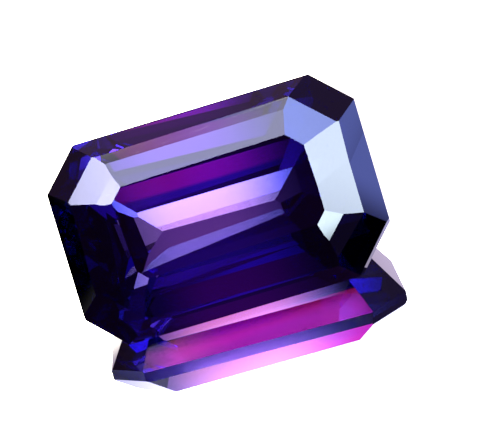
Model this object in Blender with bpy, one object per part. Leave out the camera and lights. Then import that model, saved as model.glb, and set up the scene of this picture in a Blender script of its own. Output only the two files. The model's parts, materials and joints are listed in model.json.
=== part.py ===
"""Emerald cut sapphire: one loose faceted stone, lying on its pavilion with the table leaning forward.

The stone is cut the way a lapidary cuts it: a rough block loses everything outside one flat plane
after another. The planes are listed in a cutting chart, side by side around the stone.

Stone frame, in millimetres: X along the length, Y across the width (towards the far side), Z out of
the table, zero in the middle of the girdle. Scene frame, in metres: +Z up, the table faces -Y and up,
the origin lies under the middle of the stone's box, on the surface that it rests on.
"""
from dataclasses import dataclass
from math import atan2, cos, degrees, radians, sin

import bmesh
import bpy
from mathutils import Matrix, Vector

MM = 0.001

# Driving dimensions, in millimetres and degrees
LENGTH = 8.00
WIDTH = 5.18
GIRDLE = 0.28
CROWN_HEIGHT = 1.02
BREAK_DEPTH = 2.73
PAVILION_LEAN = -0.032
REST_SIDE = "near"
WELD = 0.004

VIOLET = (0.16, 0.05, 0.42, 1.0)
SAPPHIRE_IOR = 1.77

# How far each cut corner runs along the length and along the width
CORNER_CUTS = {
    "far_left": (0.98, 1.01),
    "near_left": (0.88, 0.90),
    "near_right": (1.01, 1.09),
    "far_right": (0.91, 0.90),
}


@dataclass(frozen=True)
class Crown:
    """One side of the crown: its three steps from the girdle up to the table.

    insets are how far the upper edge of each step lies inside the girdle, heights how far above
    it, twists the small turns of the facets about Z, in degrees. start is where the first step
    meets the girdle, above or below its usual line.
    """

    insets: tuple
    heights: tuple
    twists: tuple = (0.0, 0.0, 0.0)
    start: float = 0.0


@dataclass(frozen=True)
class Pavilion:
    """One side of the pavilion: the angles of its steps from the girdle down to the keel.

    inset is how far inside the girdle the last break lies, the one above the keel step. A corner
    has no keel step. drop lowers the first step where the girdle dips.
    """

    angles: tuple
    inset: float
    twists: tuple = (0.0, 0.0, 0.0)
    drop: float = 0.0


CROWN_CHART = {
    "far": Crown((0.41, 0.66, 1.27), (0.56, 0.735, CROWN_HEIGHT), (0.7, 0.7, 0.9)),
    "far_right": Crown((0.725, 1.145, 1.545), (0.575, 0.80, CROWN_HEIGHT), (-0.1, -0.2, -0.4)),
    "right": Crown((0.56, 1.095, 1.47), (0.555, 0.83, CROWN_HEIGHT), (-0.3, -0.3, 1.8)),
    "near_right": Crown((0.765, 1.185, 1.63), (0.575, 0.815, CROWN_HEIGHT), (-1.1, -0.2, 0.1)),
    "near": Crown((0.505, 1.17, 1.575), (0.55, 0.86, CROWN_HEIGHT), (-0.1, 1.4, 1.0)),
    "near_left": Crown((0.86, 1.34, 1.84), (0.615, 0.85, CROWN_HEIGHT), (-0.1, 0.5, -0.2), start=-0.05),
    "left": Crown((0.535, 1.30, 1.665), (0.55, 0.90, CROWN_HEIGHT), (-0.8, 0.3, 3.0)),
    "far_left": Crown((0.595, 1.25, 1.59), (0.525, 0.865, CROWN_HEIGHT), (-0.4, -0.5, -0.2)),
}

PAVILION_CHART = {
    "far": Pavilion((58.2, 41.0, 25.5), 2.13, (0.0, 2.3, 4.5)),
    "far_right": Pavilion((55.5, 37.0), 2.15, (0.0, 0.2)),
    "right": Pavilion((58.2, 40.6, 23.6), 1.915, (0.0, -0.3, 0.2)),
    "near_right": Pavilion((60.7, 36.5), 2.265),
    "near": Pavilion((70.2, 40.0, 28.9), 1.807, (0.0, -2.2, -6.3)),
    "near_left": Pavilion((58.9, 37.2), 1.91, (0.0, -1.0), drop=0.05),
    "left": Pavilion((56.3, 41.4, 29.2), 1.84, (0.0, 1.0, -1.7)),
    "far_left": Pavilion((55.0, 33.9), 2.175, (0.0, 0.5)),
}


@dataclass(frozen=True)
class Plane:
    """A flat facet: a point on it and its outward normal."""

    point: Vector
    normal: Vector


def girdle_corners():
    """The eight corners of the girdle outline, counter-clockwise from the far end of the left side."""
    x, y = LENGTH / 2, WIDTH / 2
    far_left, near_left = CORNER_CUTS["far_left"], CORNER_CUTS["near_left"]
    near_right, far_right = CORNER_CUTS["near_right"], CORNER_CUTS["far_right"]
    return [
        Vector((-x, y - far_left[1])),
        Vector((-x, -y + near_left[1])),
        Vector((-x + near_left[0], -y)),
        Vector((x - near_right[0], -y)),
        Vector((x, -y + near_right[1])),
        Vector((x, y - far_right[1])),
        Vector((x - far_right[0], y)),
        Vector((-x + far_left[0], y)),
    ]


def girdle_sides():
    """The middle of each side of the girdle outline, with the azimuth of its outward normal."""
    order = ["left", "near_left", "near", "near_right", "right", "far_right", "far", "far_left"]
    corners = girdle_corners()
    sides = {}
    for index, name in enumerate(order):
        start, end = corners[index], corners[(index + 1) % len(corners)]
        run = end - start
        sides[name] = ((start + end) / 2, degrees(atan2(-run.x, run.y)))
    return sides


def facet_normal(azimuth, angle):
    """Outward normal of a facet tilted by angle from the girdle plane; a negative angle faces down."""
    a, t = radians(azimuth), radians(abs(angle))
    up = 1.0 if angle > 0 else -1.0
    return Vector((cos(a) * sin(t), sin(a) * sin(t), up * cos(t)))


def point_inside(middle, azimuth, inset, height):
    """The point that lies inset millimetres inside the middle of a side, at a height."""
    a = radians(azimuth)
    return Vector((middle.x - inset * cos(a), middle.y - inset * sin(a), height))


def break_height(point):
    """Height of the break above the keel step, which leans a little along the length."""
    return -BREAK_DEPTH + PAVILION_LEAN * point.x


def girdle_plane(middle, azimuth):
    """The ground wall of the girdle on one side."""
    return Plane(point_inside(middle, azimuth, 0.0, 0.0), facet_normal(azimuth, 90.0))


def crown_planes(middle, azimuth, crown):
    """The three crown steps of one side. The last is anchored at its upper edge, on the table."""
    insets = (0.0,) + crown.insets
    heights = (crown.start,) + crown.heights
    planes = []
    for step in range(3):
        rise = heights[step + 1] - heights[step]
        angle = degrees(atan2(rise, insets[step + 1] - insets[step]))
        anchor = step if step < 2 else step + 1
        point = point_inside(middle, azimuth, insets[anchor], GIRDLE / 2 + heights[anchor])
        planes.append(Plane(point, facet_normal(azimuth + crown.twists[step], angle)))
    return planes


def pavilion_planes(middle, azimuth, pavilion):
    """The pavilion steps of one side: the first from the girdle, the others from the last break."""
    girdle_foot = point_inside(middle, azimuth, 0.0, -GIRDLE / 2 - pavilion.drop)
    last_break = point_inside(middle, azimuth, pavilion.inset, 0.0)
    last_break.z = break_height(last_break)
    planes = []
    for step, angle in enumerate(pavilion.angles):
        point = girdle_foot if step == 0 else last_break
        planes.append(Plane(point, facet_normal(azimuth + pavilion.twists[step], -angle)))
    return planes


def cutting_chart():
    """Every plane of the stone, and the one that it rests on."""
    planes = [Plane(Vector((0.0, 0.0, GIRDLE / 2 + CROWN_HEIGHT)), Vector((0.0, 0.0, 1.0)))]
    rest = None
    for name, (middle, azimuth) in girdle_sides().items():
        planes.append(girdle_plane(middle, azimuth))
        planes.extend(crown_planes(middle, azimuth, CROWN_CHART[name]))
        pavilion = pavilion_planes(middle, azimuth, PAVILION_CHART[name])
        planes.extend(pavilion)
        if name == REST_SIDE:
            rest = pavilion[1]
    return planes, rest


def cut_stone(planes):
    """A rough block, cut back to each plane in turn and closed again with a flat facet."""
    stone = bmesh.new()
    bmesh.ops.create_cube(stone, size=2 * LENGTH)
    for plane in planes:
        everything = stone.verts[:] + stone.edges[:] + stone.faces[:]
        cut = bmesh.ops.bisect_plane(stone, geom=everything, dist=WELD / 4, plane_co=plane.point,
                                     plane_no=plane.normal, clear_outer=True)
        rim = [item for item in cut["geom_cut"] if isinstance(item, bmesh.types.BMEdge)]
        if rim:
            bmesh.ops.contextual_create(stone, geom=rim)
    bmesh.ops.remove_doubles(stone, verts=stone.verts, dist=WELD)
    bmesh.ops.recalc_face_normals(stone, faces=stone.faces)
    return stone


def lying_rotation(rest):
    """The turn that lays the resting facet on the ground and keeps the length along X."""
    down = rest.normal.rotation_difference(Vector((0.0, 0.0, -1.0))).to_matrix()
    length_axis = down @ Vector((1.0, 0.0, 0.0))
    yaw = atan2(length_axis.y, length_axis.x)
    return Matrix.Rotation(-yaw, 3, "Z") @ down


def sapphire_material():
    """Clear violet corundum."""
    material = bpy.data.materials.new("violet_sapphire")
    material.use_nodes = True
    shader = material.node_tree.nodes["Principled BSDF"]
    shader.inputs["Base Color"].default_value = VIOLET
    shader.inputs["Roughness"].default_value = 0.0
    shader.inputs["Metallic"].default_value = 0.0
    shader.inputs["IOR"].default_value = SAPPHIRE_IOR
    shader.inputs["Transmission Weight"].default_value = 1.0
    return material


def make_sapphire():
    """Cut the stone, lay it down and stand its box over the origin."""
    planes, rest = cutting_chart()
    stone = cut_stone(planes)
    mesh = bpy.data.meshes.new("sapphire")
    stone.to_mesh(mesh)
    stone.free()
    mesh.transform(Matrix.Scale(MM, 4))
    mesh.materials.append(sapphire_material())
    sapphire = bpy.data.objects.new("sapphire", mesh)
    bpy.context.scene.collection.objects.link(sapphire)

    turn = lying_rotation(rest)
    corners = [turn @ vertex.co for vertex in mesh.vertices]
    low = Vector([min(corner[axis] for corner in corners) for axis in range(3)])
    high = Vector([max(corner[axis] for corner in corners) for axis in range(3)])
    sapphire.rotation_euler = turn.to_euler()
    sapphire.location = (-(low.x + high.x) / 2, -(low.y + high.y) / 2, -low.z)
    return sapphire


def main():
    """Clear the scene and model the stone."""
    for item in list(bpy.data.objects):
        bpy.data.objects.remove(item, do_unlink=True)
    make_sapphire()


main()
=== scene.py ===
"""The looks of a loose emerald cut sapphire: its polish, colour, ground girdle and the light around it.

All sizes are in millimetres and angles in degrees until they reach Blender. Directions around the
stone are given as an azimuth from the front (-Y), growing towards the right (+X), and an elevation.
"""

import json
import logging
import math
from dataclasses import dataclass, field
from enum import Enum

import bmesh
import bpy
import numpy as np
from mathutils import Matrix, Vector

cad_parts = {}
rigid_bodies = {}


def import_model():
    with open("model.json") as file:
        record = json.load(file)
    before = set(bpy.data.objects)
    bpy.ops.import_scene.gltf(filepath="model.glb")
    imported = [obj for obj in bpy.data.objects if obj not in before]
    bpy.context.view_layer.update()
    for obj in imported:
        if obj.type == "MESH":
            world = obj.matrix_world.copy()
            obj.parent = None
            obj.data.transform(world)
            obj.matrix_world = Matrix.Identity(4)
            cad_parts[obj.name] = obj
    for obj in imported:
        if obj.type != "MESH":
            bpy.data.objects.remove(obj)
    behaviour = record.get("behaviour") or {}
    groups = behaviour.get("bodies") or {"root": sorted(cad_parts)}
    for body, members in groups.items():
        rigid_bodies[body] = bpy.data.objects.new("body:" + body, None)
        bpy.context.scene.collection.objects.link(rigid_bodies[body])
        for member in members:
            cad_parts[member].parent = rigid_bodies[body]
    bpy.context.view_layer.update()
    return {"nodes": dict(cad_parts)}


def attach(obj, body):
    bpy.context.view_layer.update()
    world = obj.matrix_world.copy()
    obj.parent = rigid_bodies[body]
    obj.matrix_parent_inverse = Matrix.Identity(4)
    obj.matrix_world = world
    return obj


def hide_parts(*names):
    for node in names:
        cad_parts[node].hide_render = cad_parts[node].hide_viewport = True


MM = 0.001

# The cosine to a panel's middle is kept above the first value before a division by it, and a panel
# shows only where the cosine is above the second
LEAST_DEPTH = 1e-4
LEAST_FACING = 1e-3

Colour = tuple[float, float, float]

log = logging.getLogger("sapphire")


class Body(Enum):
    """The bodies that a piece can ride on."""

    ROOT = "root"


class Slot(Enum):
    """The record's material slots."""

    STONE = "violet_sapphire"


class Mark(Enum):
    """The values that the stone's faces carry for its material."""

    GROUND = "ground"


def direction(azimuth: float, elevation: float) -> Vector:
    """The unit vector towards an azimuth and an elevation.

    Args:
        azimuth: Degrees from the front, growing towards the right.
        elevation: Degrees above the horizon.

    Returns:
        The direction, pointing away from the stone.
    """
    a, e = math.radians(azimuth), math.radians(elevation)
    return Vector((math.sin(a) * math.cos(e), -math.cos(a) * math.cos(e), math.sin(e)))


class NodeSheet:
    """A node tree with short calls for the nodes that this stone needs."""

    def __init__(self, tree: bpy.types.NodeTree) -> None:
        """Keeps the tree.

        Args:
            tree: The node tree that the calls add to.
        """
        self.tree = tree

    def add(self, kind: str, **settings: object) -> bpy.types.Node:
        """Adds a node.

        Args:
            kind: The node's Blender type name.
            settings: Attributes of the node, such as its operation.

        Returns:
            The new node.
        """
        node = self.tree.nodes.new(kind)
        for name, value in settings.items():
            setattr(node, name, value)
        return node

    def join(self, source: object, target: bpy.types.NodeSocket) -> None:
        """Feeds a socket from another socket, or sets it to a plain value.

        Args:
            source: A socket, a number, or a tuple for a vector or a colour.
            target: The socket that it goes into.
        """
        if isinstance(source, bpy.types.NodeSocket):
            self.tree.links.new(source, target)
        else:
            target.default_value = source

    def math(self, operation: str, *values: object, clamp: bool = False) -> bpy.types.NodeSocket:
        """One arithmetic step.

        Args:
            operation: The operation of a Math node.
            values: Its inputs, in order.
            clamp: Whether the result is held between 0 and 1.

        Returns:
            The result's socket.
        """
        node = self.add("ShaderNodeMath", operation=operation, use_clamp=clamp)
        for value, socket in zip(values, node.inputs):
            self.join(value, socket)
        return node.outputs[0]

    def dot(self, vector: bpy.types.NodeSocket, fixed: Vector) -> bpy.types.NodeSocket:
        """The dot product of a vector socket with a fixed vector.

        Args:
            vector: The socket that carries the vector.
            fixed: The fixed vector.

        Returns:
            The product's socket.
        """
        node = self.add("ShaderNodeVectorMath", operation="DOT_PRODUCT")
        self.join(vector, node.inputs[0])
        self.join(tuple(fixed), node.inputs[1])
        return node.outputs["Value"]

    def scaled(self, colour: Colour, share: bpy.types.NodeSocket) -> bpy.types.NodeSocket:
        """A fixed colour times a share.

        Args:
            colour: The colour.
            share: The share's socket.

        Returns:
            The product's socket.
        """
        node = self.add("ShaderNodeVectorMath", operation="SCALE")
        self.join(colour, node.inputs[0])
        self.join(share, node.inputs["Scale"])
        return node.outputs["Vector"]

    def total(self, parts: list[bpy.types.NodeSocket]) -> bpy.types.NodeSocket:
        """The sum of several colours.

        Args:
            parts: Their sockets, at least one.

        Returns:
            The sum's socket.
        """
        result = parts[0]
        for part in parts[1:]:
            node = self.add("ShaderNodeVectorMath", operation="ADD")
            self.join(result, node.inputs[0])
            self.join(part, node.inputs[1])
            result = node.outputs["Vector"]
        return result

    def ramp(self, value: bpy.types.NodeSocket, low: float, high: float,
             start: float = 0.0, end: float = 1.0) -> bpy.types.NodeSocket:
        """A smooth step from start to end while a value goes from low to high.

        Args:
            value: The value's socket.
            low: The value at which the step starts.
            high: The value at which it ends.
            start: What it gives below low.
            end: What it gives above high.

        Returns:
            The step's socket.
        """
        node = self.add("ShaderNodeMapRange", interpolation_type="SMOOTHSTEP", clamp=True)
        for name, item in zip(("Value", "From Min", "From Max", "To Min", "To Max"),
                              (value, low, high, start, end)):
            self.join(item, node.inputs[name])
        return node.outputs["Result"]


@dataclass(frozen=True)
class Panel:
    """A soft-edged rectangle far away around the stone: a lamp's panel, or a dark card.

    azimuth and elevation give its middle, half_width and half_height its reach in degrees, roll its
    turn, softness the share of the reach over which its edge fades, light what it gives.
    """

    azimuth: float
    elevation: float
    half_width: float
    half_height: float
    softness: float
    roll: float = 0.0
    light: Colour = (0.0, 0.0, 0.0)

    def mask(self, sheet: NodeSheet, where: bpy.types.NodeSocket) -> bpy.types.NodeSocket:
        """How much of the panel is seen in a direction.

        The direction is projected on the plane that faces the panel's middle. Its two distances
        from the middle are taken as shares of the panel's reach, and the larger one is faded out
        around 1.

        Args:
            sheet: The world's node sheet.
            where: The socket that carries the direction.

        Returns:
            The mask's socket, from 0 outside to 1 inside.
        """
        middle = direction(self.azimuth, self.elevation)
        across = direction(self.azimuth + 90.0, 0.0)
        up = across.cross(middle)
        turn = Matrix.Rotation(math.radians(self.roll), 3, middle)
        facing = sheet.dot(where, middle)
        depth = sheet.math("MAXIMUM", facing, LEAST_DEPTH)
        shares = []
        for axis, reach in ((turn @ across, self.half_width), (turn @ up, self.half_height)):
            side = sheet.math("ABSOLUTE", sheet.dot(where, axis))
            slope = sheet.math("DIVIDE", side, depth)
            shares.append(sheet.math("DIVIDE", slope, math.tan(math.radians(reach))))
        share = sheet.math("MAXIMUM", *shares)
        inside = sheet.ramp(share, 1.0 - self.softness, 1.0 + self.softness, 1.0, 0.0)
        ahead = sheet.math("GREATER_THAN", facing, LEAST_FACING)
        return sheet.math("MULTIPLY", inside, ahead)


@dataclass(frozen=True)
class Glow:
    """Light that fades slowly away from one direction, by a power of the cosine.

    azimuth and elevation give the direction, light what it gives there, and power how fast it fades.
    """

    azimuth: float
    elevation: float
    light: Colour
    power: float = 2.0

    def mask(self, sheet: NodeSheet, where: bpy.types.NodeSocket) -> bpy.types.NodeSocket:
        """How strong the glow is in a direction.

        Args:
            sheet: The world's node sheet.
            where: The socket that carries the direction.

        Returns:
            The mask's socket, from 0 to 1.
        """
        facing = sheet.dot(where, direction(self.azimuth, self.elevation))
        return sheet.math("POWER", sheet.math("MAXIMUM", facing, 0.0), self.power)


@dataclass(frozen=True)
class Tent:
    """The surroundings: pale screens low down, faint glows, soft panels of light and dark cards.

    haze is the light on every side. The screens share screen_light, also where they overlap. The
    cards keep it, the haze and the glows away, and a panel shines in front of them. The numbers of a
    panel are its azimuth, elevation, half width, half height, softness and roll, and then its light.

    A program worked out most of the panels and the colours of the glows, by comparing its own picture
    with the photograph. They were rounded, and many were then changed. The screens, the cards,
    the first panel and the last five were placed one by one.
    """

    haze: Colour = (0.02, 0.006, 0.05)
    screen_light: Colour = (0.7, 0.7, 0.7)
    screens: tuple[Panel, ...] = (
        Panel(180.0, 0.0, 50.0, 13.0, 0.15),
        Panel(-90.0, 0.0, 18.0, 12.0, 0.15),
        Panel(45.0, 16.0, 14.0, 9.0, 0.12),
        Panel(-137.0, 25.0, 10.0, 13.0, 0.1),
    )
    glows: tuple[Glow, ...] = (
        Glow(180.0, 10.0, (0.34, 0.19, 0.37)),
        Glow(0.0, 90.0, (0.03, 0.0, 0.03)),
        Glow(90.0, 20.0, (0.07, 0.06, 0.22)),
    )
    cards: tuple[Panel, ...] = (
        Panel(-94.8, 10.9, 2.0, 2.7, 0.4),
        Panel(44.2, 16.0, 1.8, 1.9, 0.25),
        Panel(166.0, 22.0, 7.0, 5.0, 0.3),
    )
    panels: tuple[Panel, ...] = (
        Panel(183.0, 53.5, 12.0, 10.0, 0.15, 0.0, (1.03, 1.03, 1.0)),
        Panel(189.7, 50.8, 7.4, 8.4, 0.1, -3.0, (5.2, 5.1, 4.1)),
        Panel(67.0, 24.4, 6.4, 11.2, 0.58, 14.0, (8.7, 10.2, 12.6)),
        Panel(29.0, 10.0, 5.0, 3.5, 0.16, -6.0, (10.0, 12.3, 14.0)),
        Panel(93.0, 8.7, 6.6, 9.4, 0.11, 2.0, (0.85, 1.1, 3.6)),
        Panel(97.6, 57.4, 17.1, 8.0, 0.74, 1.0, (3.4, 4.3, 10.3)),
        Panel(-88.2, 54.6, 8.8, 11.3, 0.35, -13.0, (10.0, 10.0, 15.5)),
        Panel(-153.6, 75.7, 26.4, 8.6, 0.4, 19.0, (3.5, 3.6, 5.5)),
        Panel(195.0, 1.1, 22.0, 8.2, 0.35, 0.0, (1.15, 1.5, 2.25)),
        Panel(161.1, 57.6, 14.7, 19.3, 0.1, 5.0, (0.37, 0.33, 0.3)),
        Panel(-142.4, 36.5, 25.7, 4.5, 0.17, -12.0, (1.0, 1.6, 2.3)),
        Panel(-33.0, 60.0, 9.0, 12.0, 0.1, -34.0, (0.6, 0.6, 1.1)),
        Panel(40.0, 70.5, 14.0, 8.0, 0.1, -17.0, (0.1, 0.05, 0.6)),
        Panel(144.6, 5.9, 16.4, 11.8, 0.43, 21.0, (0.9, 0.94, 0.98)),
        Panel(6.2, 27.6, 18.4, 9.5, 0.13, -25.0, (0.12, 0.06, 0.25)),
        Panel(5.6, 64.7, 5.0, 1.8, 0.08, 0.0, (1.8, 0.0, 0.2)),
        Panel(0.5, 61.7, 3.2, 1.3, 0.2, 0.0, (4.5, 0.2, 4.4)),
        Panel(166.0, 22.0, 7.0, 5.0, 0.3, 0.0, (0.01, 0.0, 0.42)),
        Panel(2.0, 59.6, 5.0, 0.8, 0.2, 0.0, (1.8, 1.8, 1.4)),
        Panel(5.0, 46.0, 3.2, 3.5, 0.3, 0.0, (0.2, 0.0, 0.1)),
        Panel(182.5, 41.3, 7.0, 1.5, 0.3, 0.0, (2.2, 0.8, 0.2)),
    )

    def hang(self) -> None:
        """Paints the surroundings of the scene."""
        world = bpy.data.worlds.new("tent")
        bpy.context.scene.world = world
        world.use_nodes = True
        world.node_tree.nodes.clear()
        sheet = NodeSheet(world.node_tree)
        where = sheet.add("ShaderNodeTexCoord").outputs["Generated"]
        open_share = self.beside(sheet, where, self.cards)
        lit_share = sheet.math("SUBTRACT", 1.0, self.beside(sheet, where, self.screens))
        lights = [sheet.scaled(self.haze, open_share),
                  sheet.scaled(self.screen_light, sheet.math("MULTIPLY", lit_share, open_share))]
        for glow in self.glows:
            share = sheet.math("MULTIPLY", glow.mask(sheet, where), open_share)
            lights.append(sheet.scaled(glow.light, share))
        for panel in self.panels:
            lights.append(sheet.scaled(panel.light, panel.mask(sheet, where)))
        background = sheet.add("ShaderNodeBackground")
        sheet.join(sheet.total(lights), background.inputs["Color"])
        output = sheet.add("ShaderNodeOutputWorld")
        sheet.join(background.outputs[0], output.inputs["Surface"])

    def beside(self, sheet: NodeSheet, where: bpy.types.NodeSocket,
               panels: tuple[Panel, ...]) -> bpy.types.NodeSocket:
        """How far a direction lies outside every one of several panels.

        Args:
            sheet: The world's node sheet.
            where: The socket that carries the direction.
            panels: The panels, at least one.

        Returns:
            The share's socket, from 0 inside a panel to 1 outside all of them.
        """
        gaps = [sheet.math("SUBTRACT", 1.0, panel.mask(sheet, where)) for panel in panels]
        share = gaps[0]
        for gap in gaps[1:]:
            share = sheet.math("MULTIPLY", share, gap)
        return share


@dataclass
class Studio:
    """The tent, the floor below the stone and the way that light becomes picture.

    floor_half is half the floor's side and floor_gap how far the floor lies below the stone, in
    millimetres. floor_tint is the share of light that the floor mirrors, and bounces how often a path
    of light may turn.
    """

    tent: Tent = field(default_factory=Tent)
    floor_half: float = 400.0
    floor_gap: float = 0.002
    floor_tint: Colour = (0.96, 0.96, 0.96)
    bounces: int = 24

    def build(self) -> None:
        """Sets up the light, the floor and the development of the picture."""
        self.tent.hang()
        self.floor()
        self.develop()

    def floor(self) -> None:
        """The pale, mirror-smooth surface that the stone lies on."""
        half = self.floor_half * MM
        low = -self.floor_gap * MM
        mesh = bpy.data.meshes.new("floor")
        corners = [(-half, -half, low), (half, -half, low), (half, half, low), (-half, half, low)]
        mesh.from_pydata(corners, [], [(0, 1, 2, 3)])
        floor = bpy.data.objects.new("floor", mesh)
        bpy.context.scene.collection.objects.link(floor)
        material = bpy.data.materials.new("silvered_glass")
        material.use_nodes = True
        shader = material.node_tree.nodes["Principled BSDF"]
        shader.inputs["Base Color"].default_value = (*self.floor_tint, 1.0)
        shader.inputs["Metallic"].default_value = 1.0
        shader.inputs["Roughness"].default_value = 0.0
        mesh.materials.append(material)

    def develop(self) -> None:
        """Sets how light becomes picture: plain colours, and paths long enough for a cut stone."""
        scene = bpy.context.scene
        scene.view_settings.view_transform = "Standard"
        scene.view_settings.look = "None"
        scene.cycles.max_bounces = self.bounces
        scene.cycles.glossy_bounces = self.bounces
        scene.cycles.transmission_bounces = self.bounces
        scene.cycles.sample_clamp_indirect = 0.0
        scene.cycles.blur_glossy = 0.0


@dataclass(frozen=True)
class Viewpoint:
    """The camera: where it aims, from which side, how far and how it is rolled.

    azimuth, elevation and roll are in degrees. distance, aim, sensor, nearest and farthest are in
    millimetres, the last two being the limits of what it sees. focal_pixels is the focal length in
    pixels of a picture that is picture_width wide. The view was fitted to points that were marked
    on the stone's outline in the photograph.
    """

    azimuth: float = 3.115
    elevation: float = 53.5
    roll: float = 18.3
    distance: float = 49.84
    aim: tuple[float, float, float] = (0.534, -0.460, 2.342)
    focal_pixels: float = 2000.0
    picture_width: float = 488.0
    sensor: float = 36.0
    nearest: float = 1.0
    farthest: float = 10000.0

    def place(self) -> bpy.types.Object:
        """Sets the camera up.

        Returns:
            The camera.
        """
        data = bpy.data.cameras.new("camera")
        data.sensor_width = self.sensor
        data.lens = self.sensor * self.focal_pixels / self.picture_width
        data.clip_start = self.nearest * MM
        data.clip_end = self.farthest * MM
        camera = bpy.data.objects.new("camera", data)
        bpy.context.scene.collection.objects.link(camera)
        back = direction(self.azimuth, self.elevation)
        level = direction(self.azimuth + 90.0, 0.0)
        up = back.cross(level)
        turn = math.radians(self.roll)
        right_side = level * math.cos(turn) - up * math.sin(turn)
        top_side = level * math.sin(turn) + up * math.cos(turn)
        axes = Matrix((right_side, top_side, back)).transposed().to_4x4()
        place = (Vector(self.aim) + back * self.distance) * MM
        camera.matrix_world = Matrix.Translation(place) @ axes
        bpy.context.scene.camera = camera
        return camera


@dataclass(frozen=True)
class Lie:
    """How the stone lies: its table's outward direction, its length and the middle of its length."""

    table: Vector
    length: Vector
    middle: float

    @classmethod
    def of(cls, mesh: bpy.types.Mesh) -> "Lie":
        """Reads the lie from the faceted stone.

        The table is the largest facet that faces up, and the length runs square to it and level
        across the depth.

        Args:
            mesh: The stone's mesh, one polygon for each facet.

        Returns:
            The lie, with the middle in metres along the length.
        """
        raised = [face for face in mesh.polygons if face.normal.z > 0.0]
        table = max(raised, key=lambda face: face.area).normal.copy()
        length = Vector((table.z, 0.0, -table.x)).normalized()
        places = np.empty(3 * len(mesh.vertices), dtype=np.float32)
        mesh.vertices.foreach_get("co", places)
        along = places.reshape(-1, 3) @ np.array(length, dtype=np.float32)
        return cls(table, length, float(along.min() + along.max()) / 2.0)


@dataclass(frozen=True)
class EndTint:
    """The stone's darker ends: a surface tint that is clear in the middle and deep at both ends.

    clear_at is the middle of the clear zone along the length and reach the half length of the
    stone, in millimetres. depth is how strongly red, green and blue are held back at one reach
    from the clear zone's middle, as the program that worked out the lights gave it, rounded.
    steepness is the power by which it grows.
    """

    clear_at: float = -0.5
    reach: float = 4.0
    depth: Colour = (10.4, 7.7, 6.1)
    steepness: float = 3.0

    def group(self, lie: Lie) -> bpy.types.ShaderNodeTree:
        """The zoning as a node group that puts out the tint.

        Args:
            lie: How the stone lies.

        Returns:
            The node group, with one output, Tint.
        """
        group = bpy.data.node_groups.new("darker_ends_tint", "ShaderNodeTree")
        group.interface.new_socket("Tint", in_out="OUTPUT", socket_type="NodeSocketColor")
        sheet = NodeSheet(group)
        where = sheet.add("ShaderNodeTexCoord").outputs["Object"]
        along = sheet.dot(where, lie.length)
        start = lie.middle + self.clear_at * MM
        share = sheet.math("DIVIDE", sheet.math("SUBTRACT", along, start), self.reach * MM)
        growth = sheet.math("POWER", sheet.math("ABSOLUTE", share), self.steepness)
        tint = sheet.add("ShaderNodeCombineColor")
        for depth, socket in zip(self.depth, tint.inputs):
            sheet.join(sheet.math("EXPONENT", sheet.math("MULTIPLY", growth, -depth)), socket)
        sheet.join(tint.outputs[0], sheet.add("NodeGroupOutput").inputs["Tint"])
        return group


@dataclass(frozen=True)
class Corundum:
    """Clear violet corundum: how it bends light, what it takes out of it, and its two finishes.

    keeps is the share of red, green and blue that a depth of one over the density lets through at
    first order, as the program that worked out the lights gave it, rounded. density is per metre.
    polish is the roughness of the facets, grind that of the ground girdle.
    """

    ior: float = 1.77
    density: float = 500.0
    keeps: Colour = (0.446, 0.179, 0.800)
    polish: float = 0.0
    grind: float = 0.4
    # a surface tint that makes the stone darker towards both ends of its length
    end_tint: EndTint = field(default_factory=EndTint)

    def material(self, lie: Lie) -> bpy.types.Material:
        """The stone's material.

        Args:
            lie: How the stone lies.

        Returns:
            A see-through material with plain absorption inside.
        """
        material = bpy.data.materials.new("violet_corundum")
        material.use_nodes = True
        sheet = NodeSheet(material.node_tree)
        shader = material.node_tree.nodes["Principled BSDF"]
        output = material.node_tree.nodes["Material Output"]
        # the base colour gets darker towards both ends of the stone's length
        end_tint_node = sheet.add("ShaderNodeGroup", node_tree=self.end_tint.group(lie))
        sheet.join(end_tint_node.outputs["Tint"], shader.inputs["Base Color"])
        ground = sheet.add("ShaderNodeAttribute", attribute_name=Mark.GROUND.value)
        rough = sheet.ramp(ground.outputs["Fac"], 0.0, 1.0, self.polish, self.grind)
        sheet.join(rough, shader.inputs["Roughness"])
        shader.inputs["Metallic"].default_value = 0.0
        shader.inputs["IOR"].default_value = self.ior
        shader.inputs["Transmission Weight"].default_value = 1.0
        inside = sheet.add("ShaderNodeVolumeAbsorption")
        inside.inputs["Color"].default_value = (*self.keeps, 1.0)
        inside.inputs["Density"].default_value = self.density
        sheet.join(inside.outputs[0], output.inputs["Volume"])
        return material


@dataclass(frozen=True)
class LeaningWall:
    """A wall of the girdle that leans inwards towards the crown, polished bright.

    facing is how far the wall's outward side is turned from the stone's length towards its far
    side, and lean how far the wall tips inwards, both in degrees.
    """

    facing: float
    lean: float


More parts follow.
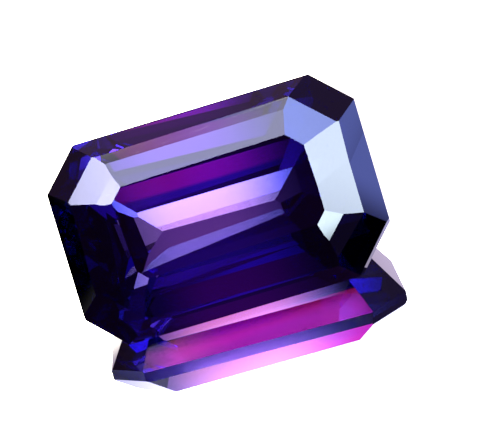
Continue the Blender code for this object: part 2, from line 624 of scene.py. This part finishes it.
@dataclass
class Stone:
    """The faceted stone itself, as crisp flat facets.

    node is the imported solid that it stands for. Corners closer than weld, in millimetres, are
    joined, and triangles that meet at less than flat, in degrees, become one facet. A facet is part
    of the ground girdle where the cosine between it and the table is less than upright. The walls in
    leaning are cut back and stay polished.
    """

    node: str = "sapphire"
    weld: float = 0.0005
    flat: float = 0.2
    upright: float = 0.02
    leaning: tuple[LeaningWall, ...] = (LeaningWall(-43.0, 14.0),)
    finish: Corundum = field(default_factory=Corundum)

    def build(self, node: bpy.types.Object) -> bpy.types.Object:
        """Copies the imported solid, joins its loose triangles into facets and dresses them.

        Args:
            node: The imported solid's object.

        Returns:
            The finished stone.
        """
        mesh = self.facets(node.data)
        lie = Lie.of(mesh)
        self.lean_walls(mesh, lie)
        self.mark_girdle(mesh, lie)
        mesh.materials.clear()
        mesh.materials.append(self.finish.material(lie))
        stone = bpy.data.objects.new("stone", mesh)
        bpy.context.scene.collection.objects.link(stone)
        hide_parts(self.node)
        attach(stone, Body.ROOT.value)
        return stone

    def facets(self, source: bpy.types.Mesh) -> bpy.types.Mesh:
        """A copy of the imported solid's mesh, with one flat polygon for each facet.

        Args:
            source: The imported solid's loose triangles.

        Returns:
            The new mesh.
        """
        shape = bmesh.new()
        shape.from_mesh(source)
        bmesh.ops.remove_doubles(shape, verts=shape.verts, dist=self.weld * MM)
        bmesh.ops.dissolve_limit(shape, angle_limit=math.radians(self.flat), verts=shape.verts,
                                 edges=shape.edges)
        mesh = bpy.data.meshes.new("stone")
        shape.to_mesh(mesh)
        shape.free()
        mesh.shade_flat()
        return mesh

    def lean_walls(self, mesh: bpy.types.Mesh, lie: Lie) -> None:
        """Cuts the leaning walls of the girdle.

        Each cut turns about the lower edge of its wall: it goes through the wall's lowest height
        over the table's plane, and its outward direction is the wall's times the cosine of the lean
        plus the table's times the sine.

        Args:
            mesh: The stone's mesh, one polygon for each facet.
            lie: How the stone lies.
        """
        shape = bmesh.new()
        shape.from_mesh(mesh)
        across = lie.table.cross(lie.length)
        for wall in self.leaning:
            turn = math.radians(wall.facing)
            lean = math.radians(wall.lean)
            facing = lie.length * math.cos(turn) + across * math.sin(turn)
            face = max(shape.faces, key=lambda item: item.normal.dot(facing))
            foot = min((corner.co for corner in face.verts), key=lambda place: place.dot(lie.table))
            outward = face.normal * math.cos(lean) + lie.table * math.sin(lean)
            everything = [*shape.verts, *shape.edges, *shape.faces]
            cut = bmesh.ops.bisect_plane(shape, geom=everything, dist=self.weld * MM, clear_outer=True,
                                         plane_co=foot.copy(), plane_no=outward)
            rim = [item for item in cut["geom_cut"] if isinstance(item, bmesh.types.BMEdge)]
            bmesh.ops.contextual_create(shape, geom=rim)
        bmesh.ops.recalc_face_normals(shape, faces=shape.faces)
        shape.to_mesh(mesh)
        shape.free()
        mesh.shade_flat()

    def mark_girdle(self, mesh: bpy.types.Mesh, lie: Lie) -> None:
        """Marks the girdle's walls, which stand square to the table, as ground.

        Args:
            mesh: The stone's mesh.
            lie: How the stone lies.
        """
        normals = np.empty(3 * len(mesh.polygons), dtype=np.float32)
        mesh.polygons.foreach_get("normal", normals)
        across = np.abs(normals.reshape(-1, 3) @ np.array(lie.table, dtype=np.float32))
        ground = (across < self.upright).astype(np.float32)
        mark = mesh.attributes.new(Mark.GROUND.value, "FLOAT", "FACE")
        mark.data.foreach_set("value", ground)


def main() -> None:
    """Clears the scene, builds the camera, the studio and the stone."""
    for item in list(bpy.data.objects):
        bpy.data.objects.remove(item, do_unlink=True)
    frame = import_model()
    Viewpoint().place()
    Studio().build()
    maker = Stone()
    stone = maker.build(frame["nodes"][maker.node])
    log.info("%s: %d facets", stone.name, len(stone.data.polygons))


if __name__ == "__main__":
    logging.basicConfig(level=logging.INFO)
    main()
